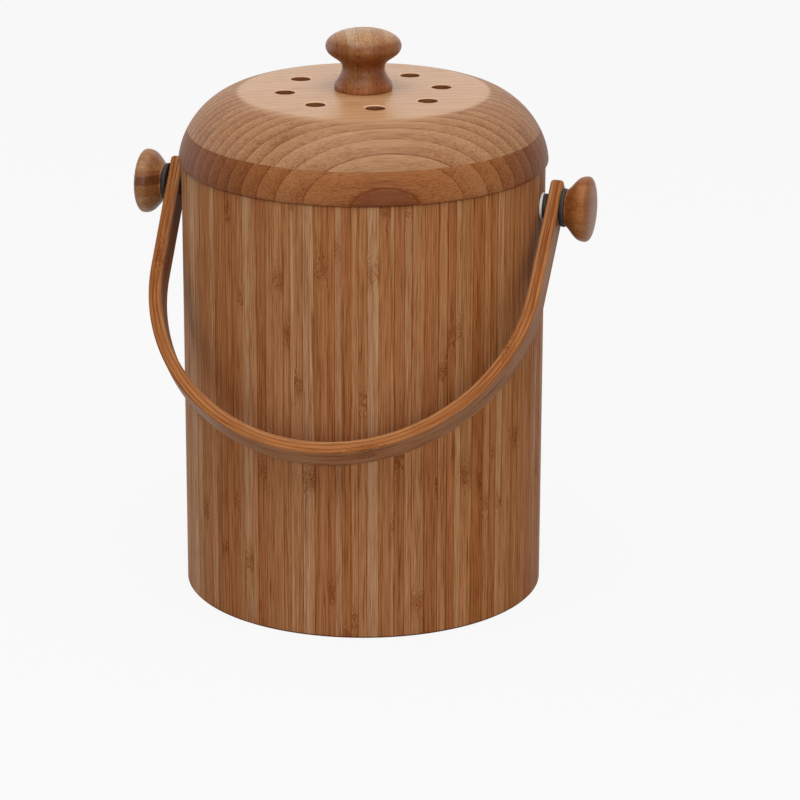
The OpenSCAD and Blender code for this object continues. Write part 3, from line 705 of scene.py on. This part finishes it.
class PAIL_OT_lid(bpy.types.Operator):
    """Turns the lid's two boards and drills the vents."""

    bl_idname = "pail.lid"
    bl_label = "Lid boards"

    def side(self, sizes, height, h):
        """Radius of the rounded side at a height above the wall."""
        reach = sizes.radius - sizes.flat_radius
        return sizes.flat_radius + reach * max(0.0, 1 - (h / height) ** sizes.roundness) ** (1 / sizes.roundness)

    def crown(self, sizes, radius):
        """Rise of the top at a distance from its middle."""
        share = max(0.0, radius - sizes.seat_radius) / (sizes.flat_radius - sizes.seat_radius)
        return sizes.crown * (1 - share**2)

    def lower(self, sizes, low, board, height):
        """The lower board: open in the middle, with a lip below and the rounded side up to the seam."""
        lip, seam, pocket, rows = sizes.lip, sizes.seam, sizes.pocket_radius, 24
        corner = self.side(sizes, height, lip)
        section = [(pocket, board), (pocket, 0.0), (corner - lip - INSET, 0.0), (corner - lip - MM, 0.0)]
        section += arc((corner - lip, lip), lip, -90, 0, count=8)
        for i in range(1, rows + 1):
            h = lip + (board - seam - lip) * i / rows
            section.append((self.side(sizes, height, h), h))
        rim = self.side(sizes, height, board)
        section += [(rim - seam, board), (rim - INSET, board), (pocket, board)]
        piece = turned_upright("lid_lower_board_turned", section, low, steps=200)
        smooth(piece)
        dress(piece, "bamboo_lid_edge", "lid", "lid_lower_board")

    def upper(self, sizes, low, board, height):
        """The upper board: the pocket's roof, the rounded side, the crowned top and the knob's seat."""
        pocket, flat, seat, rows, rings = sizes.pocket_radius, sizes.flat_radius, sizes.seat_radius, 54, 24
        roof, rim = height - sizes.roof, self.side(sizes, height, board)
        section = [(0.0, roof), (sizes.screw_radius + 2 * MM, roof), (pocket - MM, roof), (pocket, roof)]
        section += [(pocket, board), (rim - INSET, board), (rim - sizes.seam, board)]
        first = board + sizes.seam
        for i in range(rows + 1):
            h = first + (height - first) * math.sin(math.pi / 2 * i / rows)
            section.append((self.side(sizes, height, h), h))
        for i in range(1, rings + 1):
            radius = flat + (seat - flat) * i / rings
            section.append((radius, height + self.crown(sizes, radius)))
        section += [(8 * MM, height + sizes.crown), (0.0, height + sizes.crown)]
        piece = turned_upright("lid_upper_board_turned", section, low, steps=200)
        mouth = low + height + self.crown(sizes, sizes.vent_circle)
        cut(piece, self.vent_bit(sizes, low + roof, mouth))
        smooth(piece, 30)
        dress(piece, "bamboo_lid_top", "lid", "lid_upper_board")

    def vent_bit(self, sizes, roof, mouth):
        """The vents' flared bits, copied round the lid, and the screw's bit in the middle."""
        radius, flare, start = sizes.vent_radius, sizes.vent_flare, roof - MM
        section = [(0.0, start), (radius, start), (radius, mouth - flare - MM)]
        section += [(radius + flare - r, z) for r, z in arc((0, mouth - flare), flare, 0, 78, count=7)]
        # Past the arc, the bit leaves the board at a low slope
        rim, rise, top = section[-1][0] + 0.9 * flare, section[-1][1] + 0.25 * flare, mouth + 2 * MM
        section += [(rim, rise), (rim, top), (0.0, top)]
        first = sizes.turn - math.pi / 2
        place = Vector((math.cos(first), math.sin(first), 0)) * sizes.vent_circle
        bit = turned("vent_bit", [(place.x + r, place.y, z) for r, z in section], steps=64, centre=place)
        bits = [bit]
        for i in range(1, sizes.vents):
            only(bit)
            bpy.ops.object.duplicate(linked=False)
            copy = bpy.context.object
            bpy.ops.transform.rotate(value=-math.tau * i / sizes.vents, orient_axis="Z", center_override=(0, 0, 0))
            bpy.ops.object.transform_apply(location=True, rotation=True, scale=True)
            bits.append(copy)
        radius, end = sizes.screw_radius, mouth + 3 * MM
        shank = turned_upright("screw_bit", [(0, start), (radius, start), (radius, end), (0, end)], 0, steps=48)
        only(*bits, shank)
        bpy.ops.object.join()
        return bpy.context.object

    def execute(self, context):
        sizes = context.scene.pail_lid
        low, board = LOWER[0].z, UPPER[0].z - LOWER[0].z
        height = UPPER[1].z - low - sizes.crown
        self.lower(sizes, low, board, height)
        self.upper(sizes, low, board, height)
        return {"FINISHED"}


class PAIL_OT_lid_knob(bpy.types.Operator):
    """Turns the knob in the middle of the lid."""

    bl_idname = "pail.lid_knob"
    bl_label = "Lid knob"

    def execute(self, context):
        sizes = context.scene.pail_knobs
        low, high = LID_KNOB
        height, cap = high.z - low.z, high.x
        foot = (sizes.foot_radius, sizes.foot_height)
        neck = (sizes.neck_radius, sizes.neck_height)
        widest = (cap, sizes.cap_height)
        cove, flare, dome = neck[1] - foot[1], widest[1] - neck[1], height - widest[1]
        hole, depth = sizes.insert_radius, sizes.lid_insert_depth
        section = [(0.0, depth), (hole, depth), (hole, 0.0), (foot[0] - 3 * MM, 0.0), (foot[0] - foot[1] / 3, 0.0)]
        # Each sweep's handles are shares of the stretch that it covers
        section += sweep(section[-1], (foot[0], 0.0), (foot[0], foot[1] * 0.4), foot, count=5)
        section += sweep(foot, (foot[0], foot[1] + cove * 0.4), (neck[0], neck[1] - cove * 0.5), neck, count=18)
        section += sweep(neck, (neck[0], neck[1] + flare * 0.43), (cap, widest[1] - flare * 0.49), widest, count=20)
        section += sweep(widest, (cap, widest[1] + dome * 0.57), (cap * 0.57, height), (0.0, height), count=26)
        piece = turned_upright("lid_knob_turned", section, low.z, steps=120)
        smooth(piece)
        dress(piece, "bamboo_lid_knob", "lid", "lid_knob")
        return {"FINISHED"}


class PAIL_OT_side_knobs(bpy.types.Operator):
    """Turns the right knob and mirrors a copy of it for the left."""

    bl_idname = "pail.side_knobs"
    bl_label = "Side knobs"

    def execute(self, context):
        sizes = context.scene.pail_knobs
        low, high = RIGHT_KNOB
        end, cap = high.x - low.x, (high.z - low.z) / 2
        foot = (sizes.side_foot_radius, sizes.side_foot_height)
        widest = (cap, sizes.side_cap_length)
        flare, dome, soft = widest[1] - foot[1], end - widest[1], 0.3 * MM
        hole, depth = sizes.insert_radius, sizes.side_insert_depth
        section = [(0.0, depth), (hole, depth), (hole, 0.0), (foot[0] - 2 * MM, 0.0), (foot[0] - foot[1], 0.0)]
        section += sweep(section[-1], (foot[0] - soft, 0.0), (foot[0], soft), foot, count=5)
        rise = flare * 0.4
        section += sweep(foot, (foot[0] + rise, foot[1] + rise), (cap, widest[1] - flare * 0.5), widest, count=18)
        section += sweep(widest, (cap, widest[1] + dome * 0.71), (cap * 0.67, end), (0.0, end), count=24)
        right = turned_on_pivot("right_knob_turned", section, low.x, steps=112)
        smooth(right)
        bpy.ops.object.duplicate(linked=False)
        left = bpy.context.object
        left.name = left.data.name = "left_knob_turned"
        mirror(copy=False)
        for piece, side in ((right, "right"), (left, "left")):
            dress(piece, f"bamboo_{side}_knob", "pail", f"{side}_knob")
        return {"FINISHED"}


class PAIL_OT_washers(bpy.types.Operator):
    """Makes the washers on the pivot axis, with rounded rims."""

    bl_idname = "pail.washers"
    bl_label = "Washers"

    def pair(self, node, bore, edge, bulge):
        """A washer at the right end and its mirror image at the left end, in one piece."""
        low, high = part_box(node)
        radius = (high.z - low.z) / 2
        inner = min(v.co.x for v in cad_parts[node].data.vertices if v.co.x > 0)
        thick, chamfer, turn = high.x - inner, 0.2 * MM, radius - edge - bulge
        section = [(bore + chamfer, 0.0), (radius - edge, 0.0)]
        section += arc((turn, edge), edge, -90, 0, count=5)
        section += [(radius, thick / 2)]
        section += arc((turn, thick - edge), edge, 0, 90, count=5)
        section += [(bore + chamfer, thick), (bore, thick - chamfer), (bore, chamfer), (bore + chamfer, 0.0)]
        piece = turned_on_pivot(f"{node}_pair", section, inner, steps=72)
        mirror(copy=True)
        smooth(piece)
        return piece

    def execute(self, context):
        bore = context.scene.pail_lid.screw_radius + 0.05 * MM
        # Node, finish, slot, and the round and bulge of the rim in millimetres
        kinds = [
            ("nylon_washers", "nylon", "nylon_white", 0.35, 0.0),
            ("inner_rubber_washers", "rubber", "rubber_black", 0.5, 0.15),
            ("outer_rubber_washers", "rubber", "rubber_black", 0.6, 0.2),
        ]
        for node, finish, slot, edge, bulge in kinds:
            dress(self.pair(node, bore, edge * MM, bulge * MM), finish, "pail", node)
        return {"FINISHED"}


class BailShape:
    """The line that the bail's plies follow: an arm, the bend and the other arm, hanging straight down."""

    def __init__(self, sizes):
        self.sizes = sizes
        self.centre = Vector((0, 0, PIVOT_Z - sizes.bend_drop))
        self.full = sizes.bend_radius * (math.pi / 2 - sizes.lean) + sizes.arm
        self.cos, self.sin = math.cos(sizes.lean), math.sin(sizes.lean)

    def faces(self, layer):
        """Distances of a ply's inner and outer face from the bend's centre."""
        near = self.sizes.bend_radius + layer * self.sizes.ply
        return near, near + self.sizes.ply

    def ply(self, layer, name):
        """One ply: its section, drawn at the left tip, is led down the arm, round the bend and up the other arm."""
        sizes, centre, steps = self.sizes, self.centre, 8
        near, far = self.faces(layer)
        out, up = Vector((-self.cos, 0, -self.sin)), Vector((-self.sin, 0, self.cos))
        tip, half = centre + up * sizes.arm, Vector((0, sizes.width / 2, 0))
        rim = [tip + out * reach + half * way for reach, way in ((near, 1), (near, -1), (far, -1), (far, 1))]
        piece = draw_line(name, rim)
        bpy.ops.mesh.select_all(action="SELECT")
        bpy.ops.mesh.edge_face_add()
        for _ in range(steps):
            bpy.ops.mesh.extrude_region_move(TRANSFORM_OT_translate={"value": up * (-sizes.arm / steps)})
        bpy.ops.mesh.spin(steps=96, angle=math.pi - 2 * sizes.lean, center=centre, axis=(0, 1, 0))
        up = Vector((self.sin, 0, self.cos))
        for _ in range(steps):
            bpy.ops.mesh.extrude_region_move(TRANSFORM_OT_translate={"value": up * (sizes.arm / steps)})
        close_skin()
        return piece

    def spot(self, point):
        """Distance along the strip, across it, and out from the bend's centre."""
        flat = Vector((abs(point.x), 0, point.z - self.centre.z))
        rise = flat.dot(Vector((self.sin, 0, self.cos)))
        if rise > 0:
            reach = flat.dot(Vector((self.cos, 0, -self.sin)))
            along = self.full - self.sizes.arm + rise
        else:
            reach = flat.length
            along = self.sizes.bend_radius * math.atan2(flat.x, -flat.z)
        return along if point.x >= 0 else -along, point.y, reach

    def at_end(self, spot):
        return abs(abs(spot[0]) - self.full) < NEAR

    def at_side(self, spot):
        return abs(abs(spot[1]) - self.sizes.width / 2) < NEAR

    def is_tip(self, face, *ends):
        """The edge across a strip's end, on the face that shows."""
        return all(self.at_end(e) and abs(e[2] - face) < NEAR for e in ends)

    def is_corner(self, *ends):
        """The four upright corners of a strip's two end faces."""
        return all(self.at_end(e) and self.at_side(e) for e in ends) and ends[0][1] * ends[1][1] > 0

    def is_rim(self, face, *ends):
        """The long edges of the face that shows, and where they go round its tips."""
        sizes = self.sizes
        if not all(self.at_side(e) for e in ends) or ends[0][1] * ends[1][1] < 0:
            return False
        for along, _, reach in ends:
            short = self.full - abs(along)
            if short < NEAR:
                continue
            room = sizes.tip_round if short < sizes.tip_round + NEAR / 10 else 0.0
            if abs(reach - face) > room + NEAR:
                return False
        opposite = face + (sizes.ply if face < sizes.bend_radius + sizes.ply else -sizes.ply)
        return not all(abs(e[2] - opposite) < NEAR for e in ends)

    def bevel(self, piece, size, wanted, segments=3, profile=0.35):
        """Selects the wanted edges by their place and rounds them."""
        bpy.ops.mesh.select_mode(type="EDGE")
        bpy.ops.mesh.select_all(action="DESELECT")
        bpy.ops.object.mode_set(mode="OBJECT")
        spots = [self.spot(v.co) for v in piece.data.vertices]
        found = 0
        for edge in piece.data.edges:
            edge.select = wanted(*(spots[i] for i in edge.vertices))
            found += edge.select
        if not found:
            raise RuntimeError(f"{piece.name}: no edge to round")
        bpy.ops.object.mode_set(mode="EDIT")
        bpy.ops.mesh.bevel(offset=size, segments=segments, profile=profile, clamp_overlap=False, affect="EDGES")
        bpy.ops.mesh.select_mode(type="VERT")


class PAIL_OT_bail(bpy.types.Operator):
    """Bends the bail's three plies, rounds their edges and drills the pivot holes."""

    bl_idname = "pail.bail"
    bl_label = "Bail"

    def rounded(self, sizes, shape, piece, layer):
        """Rounds the tips and long edges on the faces that show. The middle ply shows only its corners."""
        if layer == 1:
            shape.bevel(piece, sizes.edge_round, shape.is_corner)
            return
        face = shape.faces(layer)[layer // 2]
        shape.bevel(piece, sizes.tip_round, lambda *ends: shape.is_tip(face, *ends), segments=6, profile=0.5)
        shape.bevel(piece, sizes.edge_round, lambda *ends: shape.is_rim(face, *ends))

    def drill(self, sizes, piece):
        """Drills both pivot holes with one long bit."""
        only()
        bpy.ops.mesh.primitive_cylinder_add(vertices=48, radius=sizes.hole_radius, depth=2.4 * BAIL[1].x,
                                            location=(0, 0, PIVOT_Z), rotation=(0, math.pi / 2, 0))
        bit = bpy.context.object
        bpy.ops.object.transform_apply(location=True, rotation=True, scale=True)
        cut(piece, bit)

    def execute(self, context):
        sizes = context.scene.pail_bail
        shape = BailShape(sizes)
        hang = Matrix.Rotation(-sizes.hang, 4, "X")
        about = Matrix.Translation((0, 0, PIVOT_Z)) @ hang @ Matrix.Translation((0, 0, -PIVOT_Z))
        for layer, side in enumerate(("inner", "middle", "outer")):
            piece = shape.ply(layer, f"bail_{side}_ply_bent")
            self.rounded(sizes, shape, piece, layer)
            close_skin()
            bpy.ops.object.mode_set(mode="OBJECT")
            self.drill(sizes, piece)
            # Each ply's fibres start at a place of their own, in millimetres
            own = Vector((700, 61.3, 0)) * layer
            grain = piece.data.attributes.new("grain", "FLOAT_VECTOR", "POINT")
            for vertex in piece.data.vertices:
                grain.data[vertex.index].vector = Vector(shape.spot(vertex.co)) * 1000 + own
            piece.data.transform(about)
            piece.data.update()
            smooth(piece, 25)
            dress(piece, "bamboo_bail", "bail", f"bail_{side}_ply")
        return {"FINISHED"}


class PAIL_OT_filter_pad(bpy.types.Operator):
    """Makes the soft charcoal pad in the lid."""

    bl_idname = "pail.filter_pad"
    bl_label = "Filter pad"

    def execute(self, context):
        low, high = PAD
        play, edge, sag, rings = 0.3 * MM, 2.6 * MM, 0.2 * MM, 30
        radius, thick = high.x - play, high.z - low.z
        under = [(radius * i / rings, sag * (i / rings) ** 2) for i in range(rings - 2)]
        over = [(r, thick - z) for r, z in reversed(under)]
        rim = arc((radius - edge, edge), edge, -80, 0, count=7)
        rim += arc((radius - edge, thick - edge), edge, 0, 80, count=7)
        piece = turned_upright("charcoal_pad_soft", under + rim + over, low.z, steps=160)
        cloud = bpy.data.textures.new("felt lumps", "CLOUDS")
        cloud.noise_scale = 7 * MM
        modify(piece, "DISPLACE", texture=cloud, strength=0.5 * MM, mid_level=0.85)
        smooth(piece, 60)
        dress(piece, "charcoal_felt", "cover", "charcoal_filter")
        return {"FINISHED"}


class PAIL_OT_studio(bpy.types.Operator):
    """Lays the floor, hangs the lamps and sets the camera."""

    bl_idname = "pail.studio"
    bl_label = "Studio"

    def lamp(self, name, energy, size, place, target):
        """A square soft lamp that faces its target."""
        data = bpy.data.lights.new(name, "AREA")
        data.size, data.energy = size, energy
        lamp = bpy.data.objects.new(name, data)
        bpy.context.scene.collection.objects.link(lamp)
        lamp.location = place
        lamp.rotation_euler = (Vector(target) - Vector(place)).to_track_quat("-Z", "Y").to_euler()

    def unlit(self, make):
        """1 for rays that should meet plain white."""
        path = make.add("LightPath").outputs
        seen = make.math("MAXIMUM", path["Is Camera Ray"], path["Is Glossy Ray"])
        return make.math("MAXIMUM", seen, path["Is Transmission Ray"])

    def floor(self):
        """A pale floor that looks nearly white and still takes the pail's shadow."""
        only()
        bpy.ops.mesh.primitive_plane_add(size=12, location=(0, 0, 0))
        floor = bpy.context.object
        floor.name = "floor"
        make = new_finish("floor_white")
        make.feed(make.shader, {"Base Color": (0.60, 0.60, 0.60, 1.0), "Roughness": 0.9, "Specular IOR Level": 0.0})
        white = make.add("Emission", {"Color": (1.0, 1.0, 1.0, 1.0), "Strength": 1.0}).outputs[0]
        share = self.unlit(make) * 0.9
        blend = make.add("MixShader", {0: share, 1: make.shader.outputs[0], 2: white})
        make.feed(make.tree.nodes["Material Output"], {"Surface": blend.outputs[0]})
        floor.data.materials.append(bpy.data.materials["floor_white"])

    def sky(self, scene, fill):
        """White wherever it is seen or mirrored, and a weak even light elsewhere."""
        world = scene.world or bpy.data.worlds.new("studio")
        scene.world = world
        world.use_nodes = True
        world.node_tree.nodes.clear()
        make = Recipe(world.node_tree)
        strength = self.unlit(make) * (1.0 - fill) + fill
        glow = make.add("Background", {"Color": (1.0, 1.0, 1.0, 1.0), "Strength": strength})
        make.add("OutputWorld", {"Surface": glow.outputs[0]})

    def camera(self, scene, lens):
        """The photograph's view: its bearing, its distance from the pail, its height and how far it looks down."""
        aim, far, high, pitch = math.radians(14.2), 1.732, 0.669, math.radians(18.33)
        data = bpy.data.cameras.new("camera")
        data.lens, data.sensor_width, data.shift_x = lens, 36, 0.0456
        data.clip_start, data.clip_end = 0.05, 50
        camera = bpy.data.objects.new("camera", data)
        scene.collection.objects.link(camera)
        camera.location = (far * math.sin(aim), -far * math.cos(aim), high)
        camera.rotation_euler = (math.pi / 2 - pitch, 0, aim)
        scene.camera = camera

    def execute(self, context):
        studio = context.scene.pail_studio
        self.floor()
        self.sky(context.scene, studio.fill)
        self.lamp("top_lamp", studio.top, size=1.5, place=(0.1, -0.5, 1.75), target=(0, 0, 0.15))
        self.lamp("key_lamp", studio.key, size=0.9, place=(0.87, -1.73, 0.65), target=(0, 0, 0.14))
        self.lamp("side_lamp", studio.side, size=0.8, place=(-1.35, 0.25, 0.45), target=(0, 0, 0.14))
        self.camera(context.scene, studio.lens)
        context.scene.view_settings.view_transform = "Standard"
        return {"FINISHED"}


class PAIL_PT_sidebar(bpy.types.Panel):
    """Lists the pail's pieces and sizes."""

    bl_idname = "PAIL_PT_sidebar"
    bl_label = "Bamboo scrap pail"
    bl_space_type = "VIEW_3D"
    bl_region_type = "UI"
    bl_category = "Pail"

    def draw(self, context):
        for group in GROUPS:
            box = self.layout.box()
            box.label(text=group.removeprefix("pail_").capitalize())
            settings = getattr(context.scene, group)
            for name in settings.__annotations__:
                box.prop(settings, name)
        for step in STEPS:
            self.layout.operator(step.bl_idname)


GROUPS = {
    "pail_lid": PailLidSizes,
    "pail_knobs": PailKnobSizes,
    "pail_bail": PailBailSizes,
    "pail_bamboo": PailBambooTones,
    "pail_studio": PailStudio,
}
STEPS = (PAIL_OT_finishes, PAIL_OT_lid, PAIL_OT_lid_knob, PAIL_OT_side_knobs, PAIL_OT_washers, PAIL_OT_bail,
         PAIL_OT_filter_pad, PAIL_OT_studio)
CLASSES = (*GROUPS.values(), *STEPS, PAIL_PT_sidebar)


def register():
    for item in CLASSES:
        bpy.utils.register_class(item)
    for name, group in GROUPS.items():
        setattr(bpy.types.Scene, name, PointerProperty(type=group))


def unregister():
    for name in GROUPS:
        delattr(bpy.types.Scene, name)
    for item in reversed(CLASSES):
        bpy.utils.unregister_class(item)


def main():
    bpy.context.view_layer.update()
    register()
    bpy.ops.pail.finishes()
    bpy.ops.pail.lid()
    bpy.ops.pail.lid_knob()
    bpy.ops.pail.side_knobs()
    bpy.ops.pail.washers()
    bpy.ops.pail.bail()
    bpy.ops.pail.filter_pad()
    bpy.ops.pail.studio()


if __name__ == "__main__":
    main()
